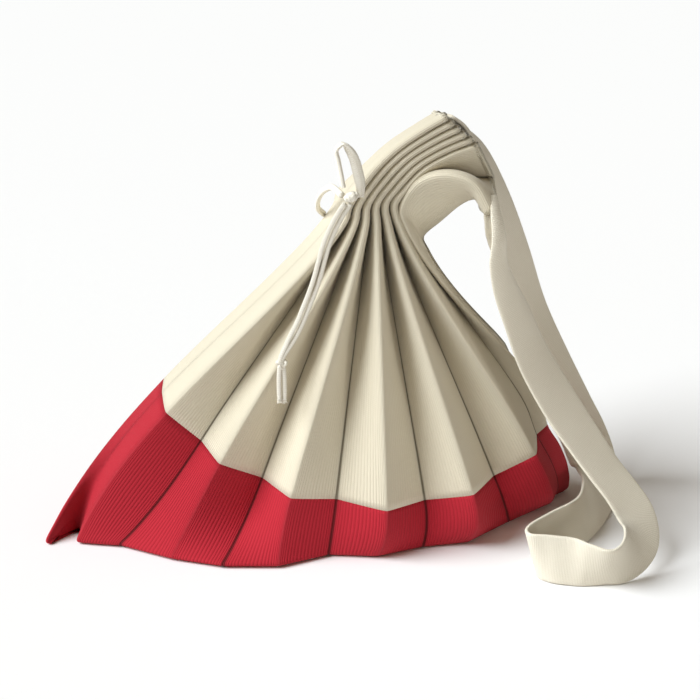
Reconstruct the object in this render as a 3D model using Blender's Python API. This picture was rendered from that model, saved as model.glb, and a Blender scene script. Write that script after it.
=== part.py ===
"""An accordion bag of pleated rib knit, standing on its spread base with its neck drawn in by a cord.

The knit wall is one ring of 28 folds, ridge and valley in turn. Fold 0 is the left side ridge, the
folds up to 14, the right side ridge, face the front, and the rest go back round behind. Metres, +X
to the right along the base, +Y away, +Z up. The origin is on the floor under the middle of the base.
"""

import math

import bmesh
import bpy
from mathutils import Vector

PLEAT_WIDTH = 0.036
WALL = 0.0012
CREASE = 0.0022
SEAM_GAP = 0.0003
STRAP_WIDTH = 0.036
STRAP_THICK = 0.0026
CORD = 0.0046
TAIL_CORD = 0.0034

FOLDS = 28
RIGHT_FOLD = 14
CONE_ROWS = 8
NECK_FALL = 0.16
EDGE_LEAD = 0.30
BELLY = 0.62
BACK_LEFT = 0.55
FOOT_SPINE = (-0.172, 0.024, 0.0)

# The neck stack from hem to neck: where the front ridges 2 and 12 run, how the pleats run aft, and the slot.
STACK_COLUMNS = ("name", "left_x", "left_z", "right_x", "right_z", "aft_turn", "aft_drop", "slot")
STACK = (
    ("hem", 0.089, 0.314, 0.111, 0.293, 12.0, 17.0, 0.0070),
    ("upper", 0.072, 0.305, 0.092, 0.287, 12.0, 17.0, 0.0065),
    ("middle", 0.055, 0.294, 0.074, 0.278, 11.0, 17.0, 0.0060),
    ("lower", 0.040, 0.280, 0.061, 0.265, 10.0, 17.0, 0.0050),
    ("neck", 0.024, 0.258, 0.054, 0.255, 9.0, 12.0, 0.0040),
)
STACK_FRONT_Y = -0.033

# The folds at the right of the stack fall open, so each has a place of its own, in mm, in every stack row.
LOOSE_COLUMNS = ("fold", "hem", "upper", "middle", "lower", "neck")
LOOSE = (
    (13, (109, -17, 261), (96, -17, 255), (93, -18, 252), (83, -5, 253), (67, 0, 243)),
    (14, (117, -50, 250), (105, -48, 271), (86, -42, 277), (69, -36, 270), (59, -33, 252)),
    (15, (121, -15, 246), (113, -18, 250), (103, -19, 247), (91, -14, 235), (80, -6, 221)),
    (16, (126, 12, 246), (113, 14, 256), (97, 18, 253), (86, 22, 246), (72, 26, 236)),
)
MILLIMETRE = 0.001

# How far each loose fold swings out to the right halfway down the cone.
SWING = {12: 0.002, 13: 0.009, 14: 0.019, 15: 0.019, 16: 0.016, 17: 0.007}
SWING_WAY = Vector((0.85, 0.0, 0.50))

# One row for each front fold: where it meets the floor, and where it crosses the colour change.
FOLD_COLUMNS = ("name", "foot_x", "foot_y", "edge_x", "edge_y", "edge_z")
FRONT_FOLDS = (
    ("side_left", -0.193, 0.004, -0.099, 0.038, 0.108),
    ("valley_0", -0.175, 0.012, -0.103, 0.018, 0.106),
    ("ridge_1", -0.163, -0.006, -0.103, -0.004, 0.101),
    ("valley_1", -0.142, -0.013, -0.081, -0.008, 0.077),
    ("ridge_2", -0.107, -0.038, -0.069, -0.024, 0.067),
    ("valley_2", -0.074, -0.058, -0.040, -0.022, 0.049),
    ("ridge_3", -0.035, -0.064, -0.023, -0.050, 0.048),
    ("valley_3", 0.003, -0.058, 0.009, -0.052, 0.042),
    ("ridge_4", 0.037, -0.065, 0.042, -0.070, 0.041),
    ("valley_4", 0.072, -0.061, 0.074, -0.056, 0.036),
    ("ridge_5", 0.106, -0.059, 0.104, -0.072, 0.048),
    ("valley_5", 0.143, -0.039, 0.130, -0.045, 0.044),
    ("ridge_6", 0.178, -0.018, 0.156, -0.050, 0.063),
    ("valley_6", 0.189, -0.005, 0.165, -0.030, 0.068),
    ("side_right", 0.201, 0.004, 0.175, -0.016, 0.069),
)

# The two back folds next to the left side ridge, where they cross the colour change.
LEFT_BACK_EDGE = {27: (-0.087, 0.046, 0.103), 26: (-0.085, 0.066, 0.099)}

# Below the colour change: height as a share of the edge's height or in metres, and how far the foot turns under.
FOOT_COLUMNS = ("share", "height", "turned_under")
FOOT_ROWS = (
    (0.33, None, 0.0),
    (0.68, None, -0.0010),
    (None, 0.010, -0.0030),
    (None, 0.0050, -0.0025),
    (None, WALL / 2, 0.0030),
)


# The strap from the front hem to the back one: the middle of the band, the way across it, and how far it curls.
STRAP_COLUMNS = ("x", "y", "z", "across_x", "across_y", "across_z", "curl")
STRAP_ROWS = (
    (0.1215, -0.0455, 0.2490, 0.12, -1.00, 0.12, 205),
    (0.1240, -0.0490, 0.2410, 0.05, -1.00, 0.08, 200),
    (0.1275, -0.0510, 0.2310, -0.10, -1.00, 0.03, 190),
    (0.1305, -0.0510, 0.2170, -0.35, -0.93, 0.00, 155),
    (0.1365, -0.0505, 0.1980, -0.58, -0.80, -0.10, 105),
    (0.1430, -0.0500, 0.1740, -0.66, -0.73, -0.18, 60),
    (0.1530, -0.0510, 0.1400, -0.70, -0.67, -0.23, 28),
    (0.1710, -0.0590, 0.1050, -0.74, -0.62, -0.24, 8),
    (0.1870, -0.0700, 0.0790, -0.75, -0.64, -0.15, 0),
    (0.1980, -0.0810, 0.0620, -0.78, -0.62, -0.03, 0),
    (0.2080, -0.0920, 0.0485, -0.87, -0.48, 0.10, 0),
    (0.2145, -0.1030, 0.0365, -0.93, -0.28, 0.24, 0),
    (0.2135, -0.1170, 0.0265, -0.80, -0.06, 0.60, 0),
    (0.2020, -0.1310, 0.0200, -0.45, -0.12, 0.87, 0),
    (0.1850, -0.1390, 0.0180, -0.18, -0.32, 0.91, 0),
    (0.1700, -0.1340, 0.0184, 0.03, -0.15, 0.98, 0),
    (0.1600, -0.1275, 0.0186, 0.08, 0.05, 0.99, 0),
    (0.1475, -0.1215, 0.0188, 0.04, 0.11, 0.99, 0),
    (0.1370, -0.1130, 0.0188, -0.01, 0.06, 1.00, 0),
    (0.1405, -0.1025, 0.0186, -0.03, 0.06, 1.00, 0),
    (0.1590, -0.0895, 0.0186, -0.07, 0.12, 0.99, 0),
    (0.1855, -0.0730, 0.0184, -0.15, 0.16, 0.97, 0),
    (0.2050, -0.0440, 0.0165, -0.42, 0.27, 0.85, 0),
    (0.2170, -0.0150, 0.0145, -0.70, 0.34, 0.60, 0),
    (0.2235, 0.0090, 0.0180, -0.88, 0.30, 0.22, 0),
    (0.2190, 0.0236, 0.0360, -0.97, 0.15, -0.15, 0),
    (0.2074, 0.0283, 0.0600, -0.95, 0.00, -0.33, 0),
    (0.1920, 0.0319, 0.0940, -0.88, -0.25, -0.36, 0),
    (0.1750, 0.0360, 0.1362, -0.84, -0.47, -0.28, 0),
    (0.1610, 0.0346, 0.1833, -0.74, -0.62, -0.24, 5),
    (0.1478, 0.0355, 0.2253, -0.62, -0.76, -0.12, 10),
    (0.1350, 0.0380, 0.2615, -0.40, -0.91, 0.10, 10),
    (0.1218, 0.0400, 0.2815, -0.22, -0.92, 0.30, 0),
    (0.1056, 0.0400, 0.2938, -0.25, -0.87, 0.42, 0),
)
STRAP_STEPS = 3
STRAP_SPLIT = 6

# Routes of the drawstring's pieces, each with the name and the diameter of its cord.
LOOP_ROUTE = (
    (0.0285, -0.043, 0.266),
    (0.028, -0.044, 0.275),
    (0.026, -0.045, 0.284),
    (0.0235, -0.046, 0.293),
    (0.020, -0.047, 0.300),
    (0.016, -0.046, 0.304),
    (0.012, -0.044, 0.300),
    (0.013, -0.043, 0.293),
    (0.0145, -0.042, 0.285),
    (0.016, -0.042, 0.277),
    (0.017, -0.043, 0.273),
)
SIDE_ROUTE = (
    (0.0158, -0.0438, 0.2678),
    (0.012, -0.033, 0.270),
    (0.012, -0.018, 0.265),
    (0.011, 0.000, 0.256),
    (0.0115, 0.018, 0.244),
    (0.014, 0.031, 0.233),
    (0.0201, 0.0413, 0.2247),
)
LEFT_TAIL = (
    (0.0168, -0.047, 0.2633),
    (0.012, -0.044, 0.254),
    (0.007, -0.042, 0.243),
    (0.003, -0.041, 0.232),
    (0.000, -0.040, 0.220),
    (-0.003, -0.039, 0.208),
    (-0.0065, -0.038, 0.197),
    (-0.0105, -0.038, 0.187),
    (-0.0145, -0.038, 0.177),
    (-0.0205, -0.038, 0.165),
    (-0.0265, -0.039, 0.152),
)
TAIL_APART = (0.0040, 0.0, -0.0005)
BOW_KNOT = (0.0215, -0.0465, 0.2675)
END_KNOT = (-0.0262, -0.0395, 0.1474)
TIP_LENGTH = 0.023


def named(columns, rows):
    return [dict(zip(columns, row)) for row in rows]


def mix(a, b, t):
    return a + (b - a) * t


def aft_direction(section):
    turn = math.radians(section["aft_turn"])
    drop = math.radians(section["aft_drop"])
    return Vector((math.sin(turn) * math.cos(drop), math.cos(turn) * math.cos(drop), -math.sin(drop)))


def stack_row(section):
    """The ring of folds across the neck stack: front pleats and back pleats lie with a slot between them."""
    left = Vector((section["left_x"], STACK_FRONT_Y, section["left_z"]))
    right = Vector((section["right_x"], STACK_FRONT_Y, section["right_z"]))
    aft = aft_direction(section)
    ring = []
    for fold in range(FOLDS):
        front = 1 <= fold <= RIGHT_FOLD
        step = fold if front else (FOLDS + 1 - fold) % FOLDS
        place = mix(left, right, (step - 2) / 10)
        back_of_slot = 0.0 if front else section["slot"] + PLEAT_WIDTH
        valley_back = PLEAT_WIDTH if front else 0.0
        ridge_back = 0.0 if front else PLEAT_WIDTH
        ring.append(place + aft * (back_of_slot + (valley_back if fold % 2 else ridge_back)))
    for row in named(LOOSE_COLUMNS, LOOSE):
        ring[row["fold"]] = Vector(row[section["name"]]) * MILLIMETRE
    return ring


def stack_rows():
    """The stack's rings, with a smooth one halfway between each two."""
    given = [stack_row(section) for section in named(STACK_COLUMNS, STACK)]
    rows = []
    for row in range(len(given) - 1):
        ahead, behind = given[max(row - 1, 0)], given[min(row + 2, len(given) - 1)]
        middle = []
        for before, start, end, after in zip(ahead, given[row], given[row + 1], behind):
            if row == 0:
                before = start * 2 - end
            middle.append((start * 9 + end * 9 - before - after) / 16)
        rows += [given[row], middle]
    rows.append(given[-1])
    return rows


def whole_ring(front, spine):
    """The back folds mirror the front ones across the spine line, and lie nearer to it at the left."""
    ring = list(front)
    for fold in range(RIGHT_FOLD + 1, FOLDS):
        point = front[FOLDS - fold]
        part = 0 if point.x < spine[1].x else 1
        along = (spine[part + 1] - spine[part]).normalized()
        foot = spine[part] + along * (point - spine[part]).dot(along)
        out = foot - point
        out.z = 0.0
        share = mix(BACK_LEFT, 1.0, min((FOLDS - fold) / 6, 1.0))
        made = foot + out * share
        made.z = point.z
        ring.append(made)
    return ring


def edge_row():
    front = [Vector((r["edge_x"], r["edge_y"], r["edge_z"])) for r in named(FOLD_COLUMNS, FRONT_FOLDS)]
    flat = [Vector((point.x, point.y, 0.0)) for point in (front[0], front[0] + (front[-1] - front[0]) / 2, front[-1])]
    ring = whole_ring(front, flat)
    for fold, place in LEFT_BACK_EDGE.items():
        ring[fold] = Vector(place)
    return ring


def foot_outline():
    front = [Vector((r["foot_x"], r["foot_y"], 0.0)) for r in named(FOLD_COLUMNS, FRONT_FOLDS)]
    return whole_ring(front, (front[0], Vector(FOOT_SPINE), front[-1]))


def cone_row(neck, edge, share):
    """Each fold leaves the neck straight down and bends out to the colour change. The loose ones swing wide."""
    ring = []
    for fold, (start, end) in enumerate(zip(neck, edge)):
        swing = SWING_WAY * SWING.get(fold, 0.0) * math.sin(math.pi * share)
        reach = (end - start).length
        first = start + Vector((0.0, 0.0, -1.0)) * reach * NECK_FALL
        second = mix(end, start, EDGE_LEAD)
        rest = 1 - share
        on_curve = start * rest ** 3 + first * 3 * rest ** 2 * share + second * 3 * rest * share ** 2 + end * share ** 3
        ring.append(on_curve + swing)
    return ring


def foot_row(neck, edge, outline, share, height, turned_under):
    """Each fold runs on past the colour change the way it came, and bends in to its place on the floor."""
    middle = sum(outline, Vector()) / len(outline)
    ring = []
    for fold in range(FOLDS):
        start, end = edge[fold], outline[fold]
        t = share if share else 1.0
        control = start + (start - neck[fold]).normalized() * (end - start).length * BELLY
        point = start * (1 - t) ** 2 + control * 2 * t * (1 - t) + end * t ** 2
        if height:
            point.z = height
        along = outline[(fold + 1) % FOLDS] - outline[fold - 1]
        inward = Vector((-along.y, along.x, 0.0)).normalized()
        if inward.dot(middle - end) < 0:
            inward = -inward
        ring.append(point + inward * turned_under)
    return ring


def creased(above, ring, below):
    """Two points for each fold, a crease's width apart, so that a fold is a narrow band and not a knife edge."""
    points = []
    for fold in range(FOLDS):
        down = (below[fold] - above[fold]).normalized()
        arrive = ring[fold] - ring[fold - 1]
        leave = ring[(fold + 1) % FOLDS] - ring[fold]
        arrive -= down * arrive.dot(down)
        leave -= down * leave.dot(down)
        half = min(CREASE, 0.45 * arrive.length, 0.45 * leave.length) / 2
        tip = (arrive.normalized() - leave.normalized()).normalized()
        along = tip.cross(down).normalized()
        if along.dot(arrive.normalized() + leave.normalized()) < 0:
            along = -along
        points += [ring[fold] - along * half, ring[fold] + along * half]
    return points


def wall_offsets(ring, downs):
    """How far the outer face lies from the middle of the wall at each point, the same thickness on both panels."""
    count = len(ring)
    normals = []
    for k in range(count):
        after = (k + 1) % count
        normals.append((downs[k] + downs[after]).cross(ring[after] - ring[k]).normalized())
    offsets = []
    for k in range(count):
        before, after = normals[k - 1], normals[k]
        offsets.append((before + after) * (WALL / 2) / max(1 + before.dot(after), 0.5))
    return offsets


def cloth_rows():
    """Every ring of the knit wall from the hem down to the floor, and the number of the colour change's ring."""
    rings = stack_rows()
    neck, edge, outline = rings[-1], edge_row(), foot_outline()
    rings += [cone_row(neck, edge, step / CONE_ROWS) for step in range(1, CONE_ROWS)]
    colour_change = len(rings)
    rings.append(edge)
    rings += [foot_row(neck, edge, outline, **row) for row in named(FOOT_COLUMNS, FOOT_ROWS)]
    return rings, colour_change


def material(name, colour, roughness):
    made = bpy.data.materials.new(name)
    made.use_nodes = True
    shader = made.node_tree.nodes["Principled BSDF"]
    shader.inputs["Base Color"].default_value = (*colour, 1.0)
    shader.inputs["Roughness"].default_value = roughness
    shader.inputs["Metallic"].default_value = 0.0
    return made


def mesh_object(name, points, faces, finish):
    mesh = bpy.data.meshes.new(name)
    mesh.from_pydata([tuple(point) for point in points], [], faces)
    work = bmesh.new()
    work.from_mesh(mesh)
    bmesh.ops.recalc_face_normals(work, faces=work.faces)
    work.to_mesh(mesh)
    work.free()
    made = bpy.data.objects.new(name, mesh)
    made.data.materials.append(finish)
    bpy.context.scene.collection.objects.link(made)
    return made


def shell(name, rings, offsets, closed_foot, finish):
    """A wall of even thickness about the rings, open at the first ring and, unless it is a foot, at the last."""
    count = len(rings[0])
    outer = [[point + out for point, out in zip(*pair)] for pair in zip(rings, offsets)]
    inner = [[point - out for point, out in zip(*pair)] for pair in zip(rings, offsets)]
    path = inner[::-1] + outer
    faces = []
    for row in range(len(path) - 1):
        for k in range(count):
            after = (k + 1) % count
            high, high_after = row * count + k, row * count + after
            low, low_after = high + count, high_after + count
            if row < len(inner) - 1:
                faces += [(high, high_after, low), (high_after, low_after, low)]
            else:
                faces += [(high, high_after, low_after), (high, low_after, low)]
    last = (len(path) - 1) * count
    if closed_foot:
        faces += [tuple(range(count)), tuple(range(last, last + count))]
    else:
        faces += [(last + k, last + (k + 1) % count, (k + 1) % count, k) for k in range(count)]
    return mesh_object(name, [point for ring in path for point in ring], faces, finish)


def build_bag(cream, red):
    rings, colour_change = cloth_rows()
    middle, offsets, downs = [], [], []
    for row, ring in enumerate(rings):
        above = rings[max(row - 1, 0)]
        below = rings[min(row + 1, len(rings) - 1)]
        middle.append(creased(above, ring, below))
    for point in middle[-1]:
        point.z = WALL / 2
    for row, ring in enumerate(middle):
        above = middle[max(row - 1, 0)]
        below = middle[min(row + 1, len(middle) - 1)]
        downs.append([(low - high).normalized() for high, low in zip(above, below)])
        offsets.append(wall_offsets(ring, downs[-1]))
    edge, down = middle[colour_change], downs[colour_change]
    cream_end = [point - step * (SEAM_GAP / 2) for point, step in zip(edge, down)]
    red_start = [point + step * (SEAM_GAP / 2) for point, step in zip(edge, down)]
    offsets[-1] = [Vector((out.x, out.y, 0.0)) * 0.5 + Vector((0.0, 0.0, -WALL / 2)) for out in offsets[-1]]
    upper, lower = offsets[:colour_change + 1], offsets[colour_change:]
    shell("pleated_body", middle[:colour_change] + [cream_end], upper, False, cream)
    shell("base_band", [red_start] + middle[colour_change + 1:], lower, True, red)


def smooth(points, steps):
    """A curve through the points, read at equal steps between each two."""
    padded = [points[0] * 2 - points[1]] + list(points) + [points[-1] * 2 - points[-2]]
    curve = []
    for k in range(1, len(padded) - 2):
        before, start, end, after = padded[k - 1:k + 3]
        for step in range(steps):
            t = step / steps
            bend = (before * 2 - start * 5 + end * 4 - after) * t ** 2
            twist = (start * 3 - end * 3 + after - before) * t ** 3
            curve.append((start * 2 + (end - before) * t + bend + twist) / 2)
    return curve + [points[-1]]


def build_strap(finish):
    """The band: each section is an arc of the strap's width, flat where the curl is nought."""
    rows = named(STRAP_COLUMNS, STRAP_ROWS)
    middle = smooth([Vector((row["x"], row["y"], row["z"])) for row in rows], STRAP_STEPS)
    across = smooth([Vector((row["across_x"], row["across_y"], row["across_z"])) for row in rows], STRAP_STEPS)
    curls = smooth([Vector((row["curl"], 0.0)) for row in rows], STRAP_STEPS)
    points, faces = [], []
    for k, centre in enumerate(middle):
        ahead = (middle[min(k + 1, len(middle) - 1)] - middle[max(k - 1, 0)]).normalized()
        side = (across[k] - ahead * across[k].dot(ahead)).normalized()
        out = side.cross(ahead)
        curl = math.radians(max(curls[k].x, 1.0))
        radius = STRAP_WIDTH / curl
        section = []
        for layer in (-0.5, 0.5):
            for j in range(STRAP_SPLIT + 1):
                angle = (j / STRAP_SPLIT - 0.5) * curl * (-1 if layer > 0 else 1)
                reach = radius + layer * STRAP_THICK
                section.append(centre + side * reach * math.sin(angle) + out * (reach * math.cos(angle) - radius))
        points += section
    ring = 2 * (STRAP_SPLIT + 1)
    for k in range(len(middle) - 1):
        for j in range(ring):
            after = (j + 1) % ring
            faces.append((k * ring + j, k * ring + after, (k + 1) * ring + after, (k + 1) * ring + j))
    last = (len(middle) - 1) * ring
    for j in range(STRAP_SPLIT):
        faces.append((j, j + 1, ring - 2 - j, ring - 1 - j))
        faces.append((last + j, last + j + 1, last + ring - 2 - j, last + ring - 1 - j))
    return mesh_object("strap", points, faces, finish)


def tube(name, route, diameter, finish):
    """A cord along a smooth curve through the route's points."""
    curve = bpy.data.curves.new(name, "CURVE")
    curve.dimensions = "3D"
    curve.bevel_depth = diameter / 2
    curve.bevel_resolution = 2
    curve.use_fill_caps = True
    points = smooth([Vector(point) for point in route], 2)
    line = curve.splines.new("POLY")
    line.points.add(len(points) - 1)
    for made, point in zip(line.points, points):
        made.co = (*point, 1.0)
    curve.materials.append(finish)
    made = bpy.data.objects.new(name, curve)
    bpy.context.scene.collection.objects.link(made)
    return made


def knot(name, centre, size, finish):
    """A knot as one rounded lump."""
    work = bmesh.new()
    bmesh.ops.create_uvsphere(work, u_segments=12, v_segments=8, radius=0.5)
    for point in work.verts:
        point.co = Vector(centre) + Vector([a * b for a, b in zip(point.co, size)])
    mesh = bpy.data.meshes.new(name)
    work.to_mesh(mesh)
    work.free()
    mesh.materials.append(finish)
    made = bpy.data.objects.new(name, mesh)
    bpy.context.scene.collection.objects.link(made)
    return made


def build_drawstring(finish):
    """The bow at the neck, the two tails down the cone, and the knot that joins them above the tips."""
    tube("drawstring_loop", LOOP_ROUTE, CORD, finish)
    tube("drawstring_small_loop", SIDE_ROUTE, CORD, finish)
    right_tail = [tuple(a + b for a, b in zip(point, TAIL_APART)) for point in LEFT_TAIL]
    tube("drawstring_tail_left", LEFT_TAIL, TAIL_CORD, finish)
    tube("drawstring_tail_right", right_tail, TAIL_CORD, finish)
    knot("drawstring_bow_knot", BOW_KNOT, (0.0105, 0.0080, 0.0076), finish)
    knot("drawstring_end_knot", END_KNOT, (0.0086, 0.0068, 0.0078), finish)
    x, y, z = END_KNOT
    for side, name in ((-1, "drawstring_tip_left"), (1, "drawstring_tip_right")):
        start = Vector((x + side * 0.0022, y, z - 0.0042))
        end = start + Vector((side * 0.0012, 0.0, -TIP_LENGTH))
        tube(name, (start, start.lerp(end, 0.5), end), TAIL_CORD, finish)


def main():
    for old in list(bpy.data.objects):
        bpy.data.objects.remove(old, do_unlink=True)
    cream = material("cream_knit", (0.84, 0.79, 0.66), 0.85)
    red = material("red_knit", (0.60, 0.03, 0.05), 0.80)
    strap_finish = material("strap_webbing", (0.82, 0.77, 0.66), 0.80)
    cord_finish = material("cord_knit", (0.88, 0.83, 0.70), 0.85)
    build_bag(cream, red)
    build_strap(strap_finish)
    build_drawstring(cord_finish)


main()
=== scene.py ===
import math
import random

import bpy
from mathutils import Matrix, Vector


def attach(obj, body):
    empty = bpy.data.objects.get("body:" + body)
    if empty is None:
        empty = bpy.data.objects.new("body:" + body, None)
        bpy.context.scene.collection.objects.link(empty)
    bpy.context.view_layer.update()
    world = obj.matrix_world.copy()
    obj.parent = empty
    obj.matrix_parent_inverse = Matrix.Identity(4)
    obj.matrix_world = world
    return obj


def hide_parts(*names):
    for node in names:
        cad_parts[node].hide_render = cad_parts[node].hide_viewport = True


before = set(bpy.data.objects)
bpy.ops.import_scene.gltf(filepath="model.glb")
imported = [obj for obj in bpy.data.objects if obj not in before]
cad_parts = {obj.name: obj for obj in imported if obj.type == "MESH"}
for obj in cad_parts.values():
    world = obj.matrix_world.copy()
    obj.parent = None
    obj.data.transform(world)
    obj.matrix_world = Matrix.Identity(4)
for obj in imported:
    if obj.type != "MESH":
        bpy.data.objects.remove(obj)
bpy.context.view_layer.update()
print("frame loaded:", ", ".join(sorted(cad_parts)))


# Camera: the photograph's angle. The floor point under the middle of the base shows at originPixel.
viewpoint = {
    "azimuth": -12.0,
    "elevation": 24.0,
    "distance": 1.35,
    "lens": 93.5,
    "sensor": 36.0,
    "clip": (0.05, 50.0),
    "imageSize": 700,
    "originPixel": (310, 520),
}


def wayTo(azimuth, elevation):
    # the way from the origin to something seen at these two angles, in degrees
    turn, rise = math.radians(azimuth), math.radians(elevation)
    return Vector((math.sin(turn) * math.cos(rise), -math.cos(turn) * math.cos(rise), math.sin(rise)))


def placeCamera(look):
    back = wayTo(look["azimuth"], look["elevation"])
    right = Vector((0.0, 0.0, 1.0)).cross(back).normalized()
    up = back.cross(right)
    perPixel = look["distance"] * look["sensor"] / look["lens"] / look["imageSize"]
    offX = (look["originPixel"][0] - look["imageSize"] / 2) * perPixel
    offY = (look["imageSize"] / 2 - look["originPixel"][1]) * perPixel
    data = bpy.data.cameras.new("photoCamera")
    data.lens = look["lens"]
    data.sensor_width = look["sensor"]
    data.clip_start, data.clip_end = look["clip"]
    camera = bpy.data.objects.new("photoCamera", data)
    camera.location = back * look["distance"] - right * offX - up * offY
    camera.rotation_mode = "QUATERNION"
    camera.rotation_quaternion = (-back).to_track_quat("-Z", "Y")
    bpy.context.scene.collection.objects.link(camera)
    bpy.context.scene.camera = camera


placeCamera(viewpoint)
print("camera placed")


# Shader maths: a Wire is a socket that can be used in sums, a Finish makes the nodes of one material.
class Wire:
    def __init__(self, finish, socket):
        self.finish = finish
        self.socket = socket

    def __add__(self, other):
        return self.finish.mathNode("ADD", self, other)

    def __radd__(self, other):
        return self.finish.mathNode("ADD", other, self)

    def __sub__(self, other):
        return self.finish.mathNode("SUBTRACT", self, other)

    def __rsub__(self, other):
        return self.finish.mathNode("SUBTRACT", other, self)

    def __mul__(self, other):
        return self.finish.mathNode("MULTIPLY", self, other)

    def __rmul__(self, other):
        return self.finish.mathNode("MULTIPLY", other, self)

    def __truediv__(self, other):
        return self.finish.mathNode("DIVIDE", self, other)


class Finish:
    def __init__(self, name):
        self.material = bpy.data.materials.new(name)
        self.material.use_nodes = True
        self.tree = self.material.node_tree
        self.shader = self.tree.nodes["Principled BSDF"]

    def feed(self, node, key, value):
        if isinstance(value, Wire):
            self.tree.links.new(value.socket, node.inputs[key])
        else:
            node.inputs[key].default_value = value

    def node(self, kind, settings, sockets, output=0):
        made = self.tree.nodes.new(kind)
        for word, value in settings.items():
            setattr(made, word, value)
        for key, value in sockets.items():
            self.feed(made, key, value)
        return Wire(self, made.outputs[output])

    def mathNode(self, operation, a, b=0.0, clamp=False):
        return self.node("ShaderNodeMath", {"operation": operation, "use_clamp": clamp}, {0: a, 1: b})

    def clamped(self, value):
        return self.mathNode("ADD", value, 0.0, clamp=True)

    def ease(self, value, low, high):
        sockets = {"Value": value, "From Min": low, "From Max": high}
        return self.node("ShaderNodeMapRange", {"interpolation_type": "SMOOTHSTEP"}, sockets)

    def blend(self, share, first, second):
        return self.node("ShaderNodeMix", {"data_type": "RGBA"}, {0: share, 6: first, 7: second}, 2)

    def grain(self, size, detail):
        # noise about 0.5, in lumps of this size in metres
        place = self.node("ShaderNodeTexCoord", {}, {}, 3)
        return self.node("ShaderNodeTexNoise", {}, {"Vector": place, "Scale": 1.0 / size, "Detail": detail})

    def clothMap(self):
        # how far across and how far along the cloth a point lies, in metres
        place = self.node("ShaderNodeUVMap", {"uv_map": "cloth"}, {})
        return [self.node("ShaderNodeSeparateXYZ", {}, {"Vector": place}, axis) for axis in (0, 1)]

    def wave(self, value, pitch):
        # 0 in the grooves and 1 on the crests, once every pitch
        return self.mathNode("ABSOLUTE", self.mathNode("SINE", value * (math.pi / pitch)))

    def dress(self, colour, rough, height, depth, sheen):
        bump = self.node("ShaderNodeBump", {}, {"Height": height, "Distance": depth, "Strength": 1.0})
        self.feed(self.shader, "Base Color", colour)
        self.feed(self.shader, "Roughness", rough)
        self.feed(self.shader, "Normal", bump)
        self.feed(self.shader, "Sheen Weight", sheen)
        self.feed(self.shader, "Sheen Roughness", clothGloss["sheenRoughness"])
        self.feed(self.shader, "Specular IOR Level", clothGloss["specular"])
        return self.material


clothGloss = {"sheenRoughness": 0.5, "specular": 0.25}

# Rib knit: ribs run down the cloth. The map's first number runs across them and its second down them, in
# metres.
pleatWidth = 0.036
knitLook = {
    "rib": 0.00180,
    "stitch": 0.0014,
    "depth": 0.00032,
    "heights": (0.80, 0.14, 0.10),  # of the ribs, the stitches and the fuzz
    "drift": 0.0004,  # how far a rib wanders sideways
    "driftGrain": (0.02, 2.0),  # the size of a noise's lumps, and its detail
    "fuzzGrain": (0.0006, 4.0),
    "patchGrain": (0.035, 3.0),
    "rough": (0.78, 0.12),  # with no fuzz, and what the fuzz adds
    # grooveEdge and stitchShade give painted shade in the rib grooves and between the stitches; patchShade
    # is tone that differs at random
    "grooveEdge": 0.75,  # how high up a rib the painted shade in its groove ends
    "patchShade": 0.10,
    "stitchShade": 0.05,
    "valleyLine": (0.0026, 0.0052),  # metres from the crease where the painted crease shade starts to fade and ends
    "valleyShade": 0.30,  # painted crease shade: times the groove's colour
    "valleyShare": 0.85,
    # the painted highlight along each ridge line: metres from the ridge where it starts to fade and where it
    # ends
    "ridgeLine": (0.0003, 0.0018),
    "ridgeHighlight": (1.25, 0.03, 0.9),  # painted highlight: times the crest's colour, plus this, at most this
    "ridgeShare": 0.35,
    "openFolds": (1.0, 15.0),  # these lie open and get no painted crease shade
    "openEdge": (0.1, 0.2),  # folds away from them, where the painted crease shade starts and is whole
}
# In each yarn, crest is the yarn's own colour and groove is painted shade, used in the rib grooves and,
# darker, along the valley creases
creamYarn = {
    "crest": (0.685, 0.622, 0.485, 1.0),
    "groove": (0.450, 0.370, 0.220, 1.0),
    "grooveShare": 0.15,
    "sheen": 0.15,
}
redYarn = {
    "crest": (0.455, 0.015, 0.030, 1.0),
    "groove": (0.280, 0.006, 0.010, 1.0),
    "grooveShare": 0.50,
    "sheen": 0.04,
}


def foldLines(finish, across):
    # masks of painted light: 1 on the valley creases, where shade is painted, and 1 on the ridge lines,
    # where a highlight is painted; they lie a pleat apart across the map
    fold = across / pleatWidth
    away = finish.mathNode("ABSOLUTE", finish.mathNode("MODULO", fold, 2.0) - 1.0) * pleatWidth
    valley = 1 - finish.ease(away, *knitLook["valleyLine"])
    ridge = 1 - finish.ease(pleatWidth - away, *knitLook["ridgeLine"])
    for openFold in knitLook["openFolds"]:
        valley = valley * finish.ease(finish.mathNode("ABSOLUTE", fold - openFold), *knitLook["openEdge"])
    return valley, ridge


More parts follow.
